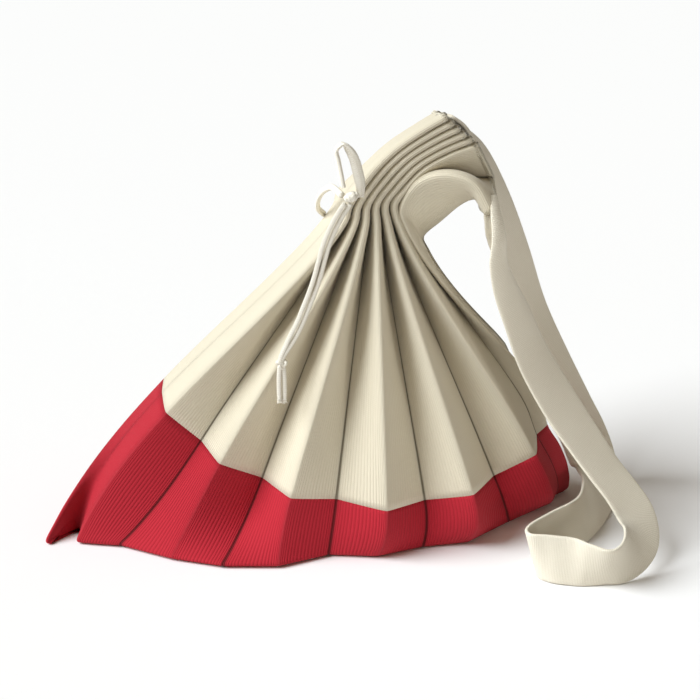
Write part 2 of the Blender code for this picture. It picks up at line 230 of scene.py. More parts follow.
def ribKnit(name, yarn):
    finish = Finish(name)
    across, down = finish.clothMap()
    drift = finish.grain(*knitLook["driftGrain"]) - 0.5
    ribs = finish.wave(across + drift * knitLook["drift"], knitLook["rib"])
    loops = finish.wave(down + ribs * (knitLook["stitch"] * 0.5), knitLook["stitch"])
    fuzz = finish.grain(*knitLook["fuzzGrain"])
    patches = finish.grain(*knitLook["patchGrain"])
    ribHeight, loopHeight, fuzzHeight = knitLook["heights"]
    height = ribs * ribHeight + loops * loopHeight + fuzz * fuzzHeight
    # painted shade in the rib grooves and between the stitches, plus random patches
    low = 1 - finish.ease(ribs, 0.0, knitLook["grooveEdge"])
    shade = low * yarn["grooveShare"] + (patches - 0.5) * knitLook["patchShade"]
    shade = shade + (1 - loops) * knitLook["stitchShade"]
    colour = finish.blend(finish.clamped(shade), yarn["crest"], yarn["groove"])
    valley, ridge = foldLines(finish, across)
    # painted highlight: the crest's colour lightened along the ridge lines
    times, plus, most = knitLook["ridgeHighlight"]
    paintedHighlight = tuple(min(value * times + plus, most) for value in yarn["crest"][:3]) + (1.0,)
    # painted shade along the valley creases: the groove's colour darkened
    deep = tuple(value * knitLook["valleyShade"] for value in yarn["groove"][:3]) + (1.0,)
    colour = finish.blend(ridge * knitLook["ridgeShare"], colour, paintedHighlight)
    colour = finish.blend(valley * knitLook["valleyShare"], colour, deep)
    smooth, rougher = knitLook["rough"]
    return finish.dress(colour, smooth + fuzz * rougher, height, knitLook["depth"], yarn["sheen"])


creamKnit = ribKnit("creamKnit", creamYarn)
redKnit = ribKnit("redKnit", redYarn)
print("knits made")


# The cloth: one ring of 28 folds, ridge and valley in turn. Fold 0 is the left side ridge, the folds up to
# 14, the right side ridge, face the front, and the rest go back round behind.
cloth = {
    "folds": 28,
    "rightFold": 14,
    "wall": 0.0015,
    "leftRidge": 2,  # the two front ridges that the stack's table places
    "rightRidge": 12,
    "stackFrontY": -0.033,
    "neckFall": 0.13,  # each line of the cone first heads straight down, for this share of its length
    "edgeLead": 0.30,  # and at its end it comes from a point this share back towards the neck
    "belly": 0.62,  # the red cloth first keeps to the cone's way, for this share of its length
    "backLeft": 0.55,  # the back's distance behind the spine at the left, times the front's in front of it
    "backBlend": 6,  # the folds over which that grows to 1
    "footSpine": (-0.172, 0.024, 0.0),  # where the spine that the foot mirrors across bends
    "floorGap": 0.6,  # the wall's middle stays this many walls above the floor
    "coneRows": 8,
    "stackSteps": 6,
    "coneSteps": 4,
    "footSteps": 5,
}

# The neck stack from hem to neck: where leftRidge and rightRidge run, how the pleats run aft, and the slot
# between the front and the back ones
stackColumns = ("name", "leftX", "leftZ", "rightX", "rightZ", "aftTurn", "aftDrop", "slot")
stackTable = (
    ("hem", 0.089, 0.314, 0.111, 0.293, 12.0, 17.0, 0.0070),
    ("upper", 0.072, 0.305, 0.092, 0.287, 12.0, 17.0, 0.0065),
    ("middle", 0.055, 0.294, 0.074, 0.278, 11.0, 17.0, 0.0060),
    ("lower", 0.040, 0.280, 0.061, 0.265, 10.0, 17.0, 0.0050),
    ("neck", 0.024, 0.258, 0.054, 0.255, 9.0, 12.0, 0.0040),
)

# The folds at the right of the stack fall open: the place of each in every stack row, in mm
looseColumns = ("fold", "hem", "upper", "middle", "lower", "neck")
looseTable = (
    (13, (127, -17, 264), (114, -14, 264), (100, -11, 267), (85, -5, 265), (67, 0, 243)),
    (14, (117, -50, 250), (105, -48, 271), (86, -42, 277), (69, -36, 270), (59, -33, 252)),
    (15, (121, -15, 246), (113, -18, 250), (103, -19, 247), (91, -14, 235), (80, -6, 221)),
    (16, (126, 12, 246), (113, 14, 256), (97, 18, 253), (86, 22, 246), (72, 26, 236)),
)

# How far each loose fold swings out to the right low on the cone
swing = {
    "folds": {12: 0.001, 13: 0.005, 14: 0.010, 15: 0.010, 16: 0.008, 17: 0.004},
    "way": Vector((0.85, 0.0, 0.50)),
    "scale": 12.2,  # share ** 4 * (1 - share) is at most 1 / 12.2, four fifths of the way down
}

# Each front fold: where it meets the floor and where it crosses the colour change
frontColumns = ("name", "footX", "footY", "edgeX", "edgeY", "edgeZ")
frontTable = (
    ("sideLeft", -0.193, 0.004, -0.099, 0.038, 0.108),
    ("valley0", -0.170, 0.022, -0.103, 0.018, 0.106),
    ("ridge1", -0.171, 0.000, -0.103, -0.004, 0.101),
    ("valley1", -0.142, -0.013, -0.081, -0.008, 0.077),
    ("ridge2", -0.107, -0.038, -0.069, -0.024, 0.067),
    ("valley2", -0.074, -0.058, -0.040, -0.022, 0.049),
    ("ridge3", -0.035, -0.064, -0.023, -0.050, 0.048),
    ("valley3", 0.003, -0.058, 0.009, -0.052, 0.042),
    ("ridge4", 0.037, -0.065, 0.042, -0.070, 0.041),
    ("valley4", 0.072, -0.061, 0.074, -0.056, 0.036),
    ("ridge5", 0.106, -0.059, 0.104, -0.072, 0.048),
    ("valley5", 0.143, -0.039, 0.130, -0.045, 0.044),
    ("ridge6", 0.178, -0.018, 0.156, -0.050, 0.063),
    ("valley6", 0.189, -0.005, 0.165, -0.030, 0.068),
    ("sideRight", 0.201, 0.004, 0.175, -0.016, 0.069),
)
leftBackEdge = {27: (-0.087, 0.046, 0.103), 26: (-0.085, 0.066, 0.099)}

# Below the colour change: height as a share of the way or in metres, and how far the foot turns under
footColumns = ("share", "height", "turnedUnder")
footTable = (
    (0.25, None, 0.0),
    (0.50, None, 0.0),
    (0.74, None, 0.0),
    (0.90, None, 0.0),
    (1.0, None, 0.0),
    (None, 0.0010, 0.0030),
)
# How far the left side's red cloth bulges out halfway down, and the height of the rim that turns under
bulge = {"folds": {27: 0.002, 0: 0.001, 1: 0.001, 2: 0.001}, "way": Vector((-0.90, -0.20, 0.38))}
rimHeight = 0.0035

# Levels count down the cloth: 0 at the hem, 1 at the neck, 2 at the colour change and 3 at the floor. The
# next three give a value at each of them. How round the cloth turns at a ridge and at a valley, as a radius:
foldRound = {"ridge": (0.0017, 0.0016, 0.0006, 0.0007), "valley": (0.0007, 0.0005, 0.00015, 0.00015)}
# How far a valley's crease is pinched in past the flat of its strips
valleyPinch = (0.0, 0.0008, 0.0044, 0.0030)
# How much deeper a valley lies than its measured line
valleyDepth = (0.0, 0.0006, 0.0050, 0.0020)
# The valleys that are pinched and deepened less
shallowFolds = {1: 0.0, 3: 0.7, 13: 0.5}
# The folds that are rounder in the stack, by how many times, and the valley that lies open on the cone
wideFolds = {14: 2.6, 15: 1.6, 16: 1.6}
openValley = {"fold": 1, "radius": 0.0060}

# Where each of these changes starts, and how long it takes, in levels
changes = {
    "creaseInward": (1.5, 0.4),
    "wideFolds": (0.4, 0.5),
    "openValley": (1.0, 0.5),
    "pinchEnd": (0.0, 0.1),  # above the floor
}
# A fold is closed where the cosine between its two strips' ways is under this, and open the run beyond it
flatFold = {"cosine": -0.3, "run": 0.6, "leastTurn": 0.04}
# The places of a strip's points between its two folds
stripSteps = (0.0, 0.03, 0.07, 0.12, 0.20, 0.33, 0.5, 0.67, 0.80, 0.88, 0.93, 0.97)


def named(columns, rows):
    return [dict(zip(columns, row)) for row in rows]


def mix(a, b, t):
    return a + (b - a) * t


def ramp(value, start, run):
    return min(max((value - start) / run, 0.0), 1.0)


def aftDirection(section):
    turn, drop = math.radians(section["aftTurn"]), math.radians(section["aftDrop"])
    return Vector((math.sin(turn) * math.cos(drop), math.cos(turn) * math.cos(drop), -math.sin(drop)))


def stackRing(section):
    left = Vector((section["leftX"], cloth["stackFrontY"], section["leftZ"]))
    right = Vector((section["rightX"], cloth["stackFrontY"], section["rightZ"]))
    aft = aftDirection(section)
    ring = []
    for fold in range(cloth["folds"]):
        front, valley = 1 <= fold <= cloth["rightFold"], fold % 2 == 1
        step = fold if front else (cloth["folds"] + 1 - fold) % cloth["folds"]
        share = (step - cloth["leftRidge"]) / (cloth["rightRidge"] - cloth["leftRidge"])
        back = 0.0 if front else section["slot"] + pleatWidth
        back += pleatWidth if front == valley else 0.0
        ring.append(mix(left, right, share) + aft * back)
    for row in named(looseColumns, looseTable):
        ring[row["fold"]] = Vector(row[section["name"]]) * 0.001
    return ring


def wholeRing(front, spine):
    # the back folds mirror the front ones across the spine line, and lie nearer to it at the left
    ring = list(front)
    for fold in range(cloth["rightFold"] + 1, cloth["folds"]):
        twin = cloth["folds"] - fold
        point = front[twin]
        part = 0 if point.x < spine[1].x else 1
        way = (spine[part + 1] - spine[part]).normalized()
        out = spine[part] + way * (point - spine[part]).dot(way) - point
        out.z = 0.0
        share = mix(cloth["backLeft"], 1.0, min(twin / cloth["backBlend"], 1.0))
        ring.append(point + out * (1 + share))
    return ring


def edgeRing():
    front = [Vector((r["edgeX"], r["edgeY"], r["edgeZ"])) for r in named(frontColumns, frontTable)]
    first, last = front[0], front[-1]
    spine = [Vector((p.x, p.y, 0.0)) for p in (first, (first + last) / 2, last)]
    ring = wholeRing(front, spine)
    for fold, place in leftBackEdge.items():
        ring[fold] = Vector(place)
    return ring


def footOutline():
    front = [Vector((r["footX"], r["footY"], 0.0)) for r in named(frontColumns, frontTable)]
    return wholeRing(front, (front[0], Vector(cloth["footSpine"]), front[-1]))


def coneRing(neck, edge, share):
    ring = []
    rest = 1 - share
    for fold, (start, end) in enumerate(zip(neck, edge)):
        first = start + Vector((0.0, 0.0, -1.0)) * ((end - start).length * cloth["neckFall"])
        second = mix(end, start, cloth["edgeLead"])
        point = start * rest ** 3 + first * 3 * rest ** 2 * share
        point = point + second * 3 * rest * share ** 2 + end * share ** 3
        out = swing["folds"].get(fold, 0.0) * swing["scale"] * share ** 4 * rest
        ring.append(point + swing["way"] * out)
    return ring


def inwardWay(ring, fold):
    # the level way across the ring's line at a fold, towards the middle of the ring
    way = ring[(fold + 1) % len(ring)] - ring[fold - 1]
    inward = Vector((-way.y, way.x, 0.0)).normalized()
    middle = sum(ring, Vector()) / len(ring)
    return -inward if inward.dot(middle - ring[fold]) < 0 else inward


def footRing(neck, edge, outline, share, height, turnedUnder):
    t = share if share else 1.0
    ring = []
    for fold, (start, place) in enumerate(zip(edge, outline)):
        end = Vector((place.x, place.y, rimHeight))
        control = start + (start - neck[fold]).normalized() * ((end - start).length * cloth["belly"])
        point = start * (1 - t) ** 2 + control * 2 * t * (1 - t) + end * t ** 2
        point += bulge["way"] * (bulge["folds"].get(fold, 0.0) * math.sin(math.pi * t))
        if height:
            point.z = height
        ring.append(point + inwardWay(outline, fold) * turnedUnder)
    return ring


def guideRings():
    # rings that the cloth passes through, each with how many steps lead on from it and its level
    stack = [stackRing(section) for section in named(stackColumns, stackTable)]
    neck, edge, outline = stack[-1], edgeRing(), footOutline()
    rows = [(ring, cloth["stackSteps"], k / (len(stack) - 1)) for k, ring in enumerate(stack[:-1])]
    for k in range(cloth["coneRows"]):
        ring = coneRing(neck, edge, k / cloth["coneRows"])
        rows.append((ring, cloth["coneSteps"], 1 + k / cloth["coneRows"]))
    rows.append((edge, cloth["footSteps"], 2.0))
    for k, row in enumerate(named(footColumns, footTable)):
        ring = footRing(neck, edge, outline, row["share"], row["height"], row["turnedUnder"])
        rows.append((ring, cloth["footSteps"], 2 + (k + 1) / len(footTable)))
    return rows


def curvePoint(before, start, end, after, t):
    bend = (before * 2 - start * 5 + end * 4 - after) * t ** 2
    twist = (start * 3 - end * 3 + after - before) * t ** 3
    return (start * 2 + (end - before) * t + bend + twist) / 2


def smoothRings():
    # every ring of folds, from the hem down to the floor, with its level
    guides = guideRings()
    rings, levels = [], []
    for k in range(len(guides) - 1):
        ring, steps, level = guides[k]
        nextRing, nextLevel = guides[k + 1][0], guides[k + 1][2]
        high = guides[k - 1][0] if k else [a * 2 - b for a, b in zip(ring, nextRing)]
        low = guides[k + 2][0] if k + 2 < len(guides) else [b * 2 - a for a, b in zip(ring, nextRing)]
        for step in range(steps):
            t = step / steps
            rings.append([curvePoint(a, b, c, d, t) for a, b, c, d in zip(high, ring, nextRing, low)])
            levels.append(mix(level, nextLevel, t))
    rings.append(guides[-1][0])
    levels.append(3.0)
    return [deepened(ring, level) for ring, level in zip(rings, levels)], levels


def creaseWay(ring, fold, level, tip):
    # the way into a valley: as its strips point, and low down, where it lies open, towards the bag's middle
    share = ramp(level, *changes["creaseInward"])
    return (tip * (1 - share) + inwardWay(ring, fold) * share).normalized()


def deepened(ring, level):
    made = list(ring)
    for fold in range(1, len(ring), 2):
        before, after = ring[fold] - ring[fold - 1], ring[fold] - ring[(fold + 1) % len(ring)]
        tip = before.normalized() + after.normalized()
        way = creaseWay(ring, fold, level, Vector((tip.x, tip.y, 0.0)).normalized())
        depth = levelValue(valleyDepth, level) * shallowFolds.get(fold, 1.0)
        made[fold] = ring[fold] + way * depth
    return made


def levelValue(values, level):
    k = min(int(level), len(values) - 2)
    return mix(values[k], values[k + 1], level - k)


def foldRadius(fold, level):
    radius = levelValue(foldRound["valley" if fold % 2 else "ridge"], level)
    radius *= mix(wideFolds.get(fold, 1.0), 1.0, ramp(level, *changes["wideFolds"]))
    if fold == openValley["fold"]:
        radius = mix(radius, openValley["radius"], ramp(level, *changes["openValley"]))
    return radius


def foldTangents(ring, high, low, level):
    # the way the cloth runs round each fold, longer the rounder it is, and how far in its crease is pinched
    tangents, pinches = [], []
    count = len(ring)
    for fold in range(count):
        down = (low[fold] - high[fold]).normalized()
        arrive, leave = ring[fold] - ring[fold - 1], ring[(fold + 1) % count] - ring[fold]
        width = (arrive.length + leave.length) / 2
        arrive = (arrive - down * arrive.dot(down)).normalized()
        leave = (leave - down * leave.dot(down)).normalized()
        tip = (arrive - leave).normalized()
        folded = tip.cross(down) if fold % 2 == 0 else down.cross(tip)
        opened = (arrive + leave).normalized()
        share = ramp(arrive.dot(leave), flatFold["cosine"], flatFold["run"])
        way = (folded * (1 - share) + opened * share).normalized()
        turned = max(way.cross(leave).length, flatFold["leastTurn"])
        length = math.sqrt(4 * width * foldRadius(fold, level) * turned)
        tangents.append(way * min(length, width))
        pinch = levelValue(valleyPinch, level) * shallowFolds.get(fold, 1.0)
        pinch *= ramp(3 - level, *changes["pinchEnd"])
        pinches.append(creaseWay(ring, fold, level, tip) * (pinch if fold % 2 else 0.0))
    return tangents, pinches


def stripPoint(start, end, leaving, arriving, t):
    # a point of the smooth line that leaves one fold and arrives at the next along their tangents
    a, b = 2 * t ** 3 - 3 * t ** 2 + 1, t ** 3 - 2 * t ** 2 + t
    c, d = 3 * t ** 2 - 2 * t ** 3, t ** 3 - t ** 2
    return start * a + leaving * b + end * c + arriving * d


def clothGrid():
    # the middle of the wall: rows of points round the bag, and each row's level
    rings, levels = smoothRings()
    lowest = cloth["wall"] * cloth["floorGap"]
    grid = []
    for row, ring in enumerate(rings):
        high, low = rings[max(row - 1, 0)], rings[min(row + 1, len(rings) - 1)]
        tangents, pinches = foldTangents(ring, high, low, levels[row])
        points = []
        for fold, start in enumerate(ring):
            after = (fold + 1) % len(ring)
            for t in stripSteps:
                point = stripPoint(start, ring[after], tangents[fold], tangents[after], t)
                point = point + pinches[fold] if t == 0 else point
                points.append(Vector((point.x, point.y, max(point.z, lowest))))
        grid.append(points)
    return grid, levels


def wallOffsets(grid):
    # from each point of the wall's middle to its outer face
    count = len(grid[0])
    offsets = []
    for row, points in enumerate(grid):
        high, low = grid[max(row - 1, 0)], grid[min(row + 1, len(grid) - 1)]
        line = []
        for k in range(count):
            down = low[k] - high[k]
            way = points[(k + 1) % count] - points[k - 1]
            line.append(down.cross(way).normalized() * (cloth["wall"] / 2))
        offsets.append(line)
    return offsets


def knitPlaces(grid, edgeRow):
    # across: the pleats all have the same number of ribs. down: metres from the colour change
    count, perStrip = len(grid[0]), len(stripSteps)
    across = []
    for k in range(count + 1):
        strip, step = divmod(k, perStrip)
        across.append((strip + stripSteps[step]) * pleatWidth)
    down = [[0.0] * (count + 1) for _ in grid]
    for k in range(count + 1):
        column = k % count
        for row in range(edgeRow + 1, len(grid)):
            down[row][k] = down[row - 1][k] + (grid[row][column] - grid[row - 1][column]).length
        for row in range(edgeRow - 1, -1, -1):
            down[row][k] = down[row + 1][k] - (grid[row + 1][column] - grid[row][column]).length
    return across, down


def meshPiece(name, points, faces, places, finish):
    # places holds the cloth map's corners, face by face
    mesh = bpy.data.meshes.new(name)
    mesh.from_pydata([tuple(point) for point in points], [], faces)
    layer = mesh.uv_layers.new(name="cloth")
    flat = [corner for face in places for corner in face]
    for loop, corner in zip(layer.data, flat):
        loop.uv = corner
    mesh.materials.append(finish)
    mesh.polygons.foreach_set("use_smooth", [True] * len(mesh.polygons))
    mesh.update()
    piece = bpy.data.objects.new(name, mesh)
    bpy.context.scene.collection.objects.link(piece)
    return piece


def clothPiece(name, grid, offsets, across, down, closedFoot, finish):
    # outer face down, round the lower rim and inner face up again, as one closed wall
    rows, count = len(grid), len(grid[0])
    outer = [[p + o for p, o in zip(*pair)] for pair in zip(grid, offsets)]
    inner = [[p - o for p, o in zip(*pair)] for pair in zip(grid, offsets)]
    path = outer + inner[::-1]
    downs = list(down) + list(down)[::-1]
    points = [point for ring in path for point in ring]
    faces, places = [], []
    for row in range(len(path)):
        if closedFoot and row == rows - 1:
            continue
        low = (row + 1) % len(path)
        for k in range(count):
            after = (k + 1) % count
            faces.append((row * count + k, low * count + k, low * count + after, row * count + after))
            places.append((
                (across[k], downs[row][k]),
                (across[k], downs[low][k]),
                (across[k + 1], downs[low][k + 1]),
                (across[k + 1], downs[row][k + 1]),
            ))
    if closedFoot:
        bottom = [(rows - 1) * count + k for k in range(count)]
        top = [rows * count + k for k in range(count)][::-1]
        for ring in (bottom, top):
            faces.append(tuple(ring))
            places.append(tuple((points[i].x, points[i].y) for i in ring))
    return meshPiece(name, points, faces, places, finish)


def makeCloth():
    grid, levels = clothGrid()
    offsets = wallOffsets(grid)
    edgeRow = min(range(len(levels)), key=lambda row: abs(levels[row] - 2.0))
    across, down = knitPlaces(grid, edgeRow)
    cream, red = slice(0, edgeRow + 1), slice(edgeRow, None)
    body = clothPiece("pleatedBody", grid[cream], offsets[cream], across, down[cream], False, creamKnit)
    band = clothPiece("baseBand", grid[red], offsets[red], across, down[red], True, redKnit)
    for piece, node, slot in ((body, "pleated_body", "cream_knit"), (band, "base_band", "red_knit")):
        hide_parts(node)
        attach(piece, "root")
        print(piece.name, len(piece.data.polygons), "faces")
    return grid, offsets


clothRows, clothOffsets = makeCloth()


# The strap, a woven band
strap = {
    "width": 0.036,
    "thick": 0.0024,
    "gather": 0.55,  # how much narrower it is where it leaves the front hem
    "gatherRun": 0.045,
    "steps": 8,
    "split": 16,
    "edge": ((0.016, 0.72), (0.026, 0.0), (0.016, -0.72)),  # past a side in widths, out in half thicknesses
    "curlShare": 0.96,
    "weft": 0.0011,
    "warp": 0.0016,
    "depth": 0.00028,
    "heights": (0.6, 0.3, 0.15),  # of the weft, the warp and the fuzz
    "shades": (0.30, 0.10, 0.15),  # painted shade in the weft's gaps and in the warp's gaps, and random tone in patches
    "fuzzGrain": (0.0007, 4.0),
    "patchGrain": (0.03, 3.0),
    "rough": (0.74, 0.14),
    "sheen": 0.15,
    "cream": (0.820, 0.765, 0.640, 1.0),
    # gap is the colour of the painted shade in the weave's gaps
    "gap": (0.560, 0.480, 0.340, 1.0),
}
# From the front hem to the back one: the band's middle, the way across it, and how far it curls, in degrees
strapColumns = ("x", "y", "z", "acrossX", "acrossY", "acrossZ", "curl")
strapTable = (
    (0.1230, -0.0400, 0.2590, 0.12, -1.00, 0.12, 205),
    (0.1238, -0.0455, 0.2490, 0.12, -1.00, 0.12, 205),
    (0.1255, -0.0490, 0.2410, 0.05, -1.00, 0.08, 200),
    (0.1270, -0.0510, 0.2310, -0.10, -1.00, 0.03, 185),
    (0.1280, -0.0510, 0.2170, -0.32, -0.94, 0.00, 150),
    (0.1330, -0.0505, 0.1980, -0.55, -0.82, -0.10, 105),
    (0.1410, -0.0500, 0.1740, -0.65, -0.74, -0.18, 60),
    (0.1530, -0.0510, 0.1400, -0.70, -0.67, -0.23, 28),
    (0.1710, -0.0590, 0.1050, -0.74, -0.62, -0.24, 8),
    (0.1870, -0.0700, 0.0790, -0.75, -0.64, -0.15, 0),
    (0.1980, -0.0810, 0.0620, -0.78, -0.62, -0.03, 0),
    (0.2080, -0.0920, 0.0485, -0.87, -0.48, 0.10, 0),
    (0.2145, -0.1030, 0.0365, -0.93, -0.28, 0.24, 0),
    (0.2135, -0.1170, 0.0265, -0.80, -0.06, 0.60, 0),
    (0.2020, -0.1310, 0.0200, -0.45, -0.12, 0.87, 0),
    (0.1850, -0.1390, 0.0180, -0.18, -0.32, 0.91, 0),
    (0.1700, -0.1340, 0.0184, 0.03, -0.15, 0.98, 0),
    (0.1600, -0.1275, 0.0186, 0.08, 0.05, 0.99, 0),
    (0.1475, -0.1215, 0.0188, -0.06, 0.11, 0.99, 0),
    (0.1375, -0.1130, 0.0186, -0.25, 0.06, 0.97, 0),
    (0.1410, -0.1025, 0.0184, -0.22, 0.06, 0.97, 0),
    (0.1590, -0.0895, 0.0184, -0.12, 0.12, 0.98, 0),
    (0.1855, -0.0730, 0.0184, -0.15, 0.16, 0.97, 0),
    (0.2050, -0.0440, 0.0165, -0.42, 0.27, 0.85, 0),
    (0.2170, -0.0150, 0.0135, -0.70, 0.34, 0.60, 0),
    (0.2235, 0.0090, 0.0170, -0.88, 0.30, 0.22, 0),
    (0.2190, 0.0236, 0.0360, -0.97, 0.15, -0.15, 0),
    (0.2074, 0.0283, 0.0600, -0.95, 0.00, -0.33, 0),
    (0.1920, 0.0319, 0.0940, -0.88, -0.25, -0.36, 0),
    (0.1750, 0.0360, 0.1362, -0.84, -0.47, -0.28, 0),
    (0.1610, 0.0346, 0.1833, -0.74, -0.62, -0.24, 5),
    (0.1478, 0.0355, 0.2253, -0.62, -0.76, -0.12, 10),
    (0.1350, 0.0380, 0.2615, -0.40, -0.91, 0.10, 10),
    (0.1218, 0.0400, 0.2815, -0.22, -0.92, 0.30, 0),
    (0.1056, 0.0400, 0.2938, -0.25, -0.87, 0.42, 0),
)


def smoothLine(points, steps):
    padded = [points[0] * 2 - points[1]] + list(points) + [points[-1] * 2 - points[-2]]
    line = []
    for k in range(1, len(padded) - 2):
        line += [curvePoint(*padded[k - 1:k + 3], step / steps) for step in range(steps)]
    return line + [points[-1]]


def lineRuns(line):
    # how far along a line each of its points lies
    runs = [0.0]
    for a, b in zip(line, line[1:]):
        runs.append(runs[-1] + (b - a).length)
    return runs


def crossWays(line, k, wide, closed=False):
    # the two ways across a line at its point k: along the width, as near to wide as it can be, and out
    behind = line[k - 1] if k or closed else line[0]
    beyond = line[(k + 1) % len(line)] if k + 1 < len(line) or closed else line[-1]
    ahead = (beyond - behind).normalized()
    side = (wide - ahead * wide.dot(ahead)).normalized()
    return side, side.cross(ahead)


def webbing():
    finish = Finish("strapWebbing")
    across, along = finish.clothMap()
    weft = finish.wave(along, strap["weft"])
    row = finish.mathNode("FLOOR", along / strap["weft"])
    warp = finish.wave(across + row * (strap["warp"] / 2), strap["warp"])
    fuzz = finish.grain(*strap["fuzzGrain"])
    patches = finish.grain(*strap["patchGrain"])
    weftHeight, warpHeight, fuzzHeight = strap["heights"]
    height = weft * weftHeight + warp * warpHeight + fuzz * fuzzHeight
    # painted shade in the weave's gaps, with random patches
    weftShade, warpShade, patchShade = strap["shades"]
    dark = (1 - weft) * weftShade + (1 - warp) * warpShade + (patches - 0.5) * patchShade
    colour = finish.blend(finish.clamped(dark), strap["cream"], strap["gap"])
    smooth, rougher = strap["rough"]
    return finish.dress(colour, smooth + fuzz * rougher, height, strap["depth"], strap["sheen"])


def strapSection(curl):
    # the band's outline, curled through an angle: how far sideways and outwards, and the place across it
    half, split = strap["thick"] / 2, strap["split"]
    face = [k / split - 0.5 for k in range(split + 1)]
    edge = [(0.5 + past, out) for past, out in strap["edge"]]
    outline = [(share, 1.0) for share in face] + edge
    outline += [(share, -1.0) for share in face[::-1]] + [(-share, out) for share, out in edge[::-1]]
    radius = strap["width"] / curl
    section = []
    for share, side in outline:
        angle = share * curl * strap["curlShare"]
        reach = radius + side * half
        section.append((reach * math.sin(angle), reach * math.cos(angle) - radius, share * strap["width"]))
    return section


def makeStrap():
    rows = named(strapColumns, strapTable)
    middle = smoothLine([Vector((r["x"], r["y"], r["z"])) for r in rows], strap["steps"])
    across = smoothLine([Vector((r["acrossX"], r["acrossY"], r["acrossZ"])) for r in rows], strap["steps"])
    curls = smoothLine([Vector((r["curl"], 0.0, 0.0)) for r in rows], strap["steps"])
    points, places, faces, corners = [], [], [], []
    for k, (centre, run) in enumerate(zip(middle, lineRuns(middle))):
        side, out = crossWays(middle, k, across[k])
        narrow = 1 - strap["gather"] * max(1 - run / strap["gatherRun"], 0.0) ** 2
        for sideways, outwards, share in strapSection(math.radians(max(curls[k].x, 1.0))):
            points.append(centre + (side * sideways + out * outwards) * narrow)
            places.append((share, run))
    ring = len(strapSection(1.0))
    for k in range(len(middle) - 1):
        for j in range(ring):
            after = (j + 1) % ring
            quad = (k * ring + j, (k + 1) * ring + j, (k + 1) * ring + after, k * ring + after)
            faces.append(quad)
            corners.append(tuple(places[i] for i in quad))
    last = (len(middle) - 1) * ring
    for cap in (tuple(range(ring)), tuple(range(last + ring - 1, last - 1, -1))):
        faces.append(cap)
        corners.append(tuple(places[i] for i in cap))
    piece = meshPiece("shoulderStrap", points, faces, corners, webbing())
    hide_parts("strap")
    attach(piece, "root")
    print(piece.name, len(faces), "faces,", round(run, 3), "m long")


makeStrap()


# The drawstring: a flat soft knit cord, on the routes that its solids follow, in metres
cordLook = {
    "bowWidth": 0.0072,
    "bowThick": 0.0030,
    "footWidth": 0.66,  # times the tall loop's width, at its two feet
    "footRun": 8,  # the points over which it grows wide
    "sideWidth": 0.0044,
    "sideThick": 0.0034,
    "sideWide": Vector((0.2, 0.3, 1.0)),
    "tailWidth": 0.0033,
    "tailThick": 0.0024,
    "tailWide": Vector((0.95, -0.30, 0.0)),
    "tailApart": Vector((0.0040, 0.0, -0.0005)),
    "steps": 6,
    "section": 12,
    "boxy": 0.75,  # 1 makes the cord's section an oval, less makes it squarer
    "girth": 2.2,  # the way round the cord, in widths
    "rib": 0.0011,
    "stitch": 0.0015,
    "depth": 0.00035,
    "heights": (0.55, 0.35, 0.25),  # of the loops, the columns and the fuzz
    # painted shade between the loops and between the columns, and random tone from the fuzz
    "shades": (0.30, 0.20, 0.20),
    "fuzzGrain": (0.0005, 4.0),
    "rough": (0.80, 0.12),
    "sheen": 0.25,
    "cream": (0.930, 0.890, 0.790, 1.0),
    # groove is the colour of the painted shade between the loops and the columns
    "groove": (0.500, 0.420, 0.280, 1.0),
}

# The ends below the lower knot
tipLook = {
    "length": 0.023,
    "drop": 0.0040,  # from the knot's middle to where an end starts
    "knotApart": 0.0010,
    "apart": 0.0015,
    "splay": 0.0003,
    "bow": 0.0003,
    "shares": (0.35, 0.7, 1.0),
    "cutSizes": ((0.0031, 0.0024), (0.0028, 0.0022), (0.0036, 0.0027)),  # width and thickness at the cut
}

# The bow's knot is a band wrapped round a lump of cord. The lump's rows are its place, width and thickness
bowKnotLook = {
    "place": Vector((0.0215, -0.0465, 0.2675)),
    "lean": Vector((0.95, -0.05, 0.30)),
    "wrapPoints": 28,
    "wrapRadii": (0.0030, 0.0025),
    "wrapSize": (0.0058, 0.0020),
    "lump": (
        (-0.0052, 0.0030, 0.0030),
        (-0.0035, 0.0048, 0.0046),
        (0.0, 0.0050, 0.0048),
        (0.0035, 0.0048, 0.0046),
        (0.0052, 0.0030, 0.0030),
    ),
}

# The lower knot is a cord tied in itself
endKnotLook = {
    "place": Vector((-0.0262, -0.0395, 0.1474)),
    "points": 54,
    "size": (0.00105, 0.0013, 0.00095),
    "wide": Vector((0.2, 1.0, 0.1)),
    "cordSize": (0.0028, 0.0023),
}

# The tuft of loose threads where a cord is cut
frayLook = {
    "threads": 12,
    "thread": 0.0005,
    "across": 0.0016,
    "deep": 0.0011,
    "reach": (0.5, 1.0),
    "length": (0.0018, 0.0032),
    "root": 0.001,
    "spreads": (0.5, 1.1, 1.7),  # at a thread's root, middle and end
    "steps": 2,
}

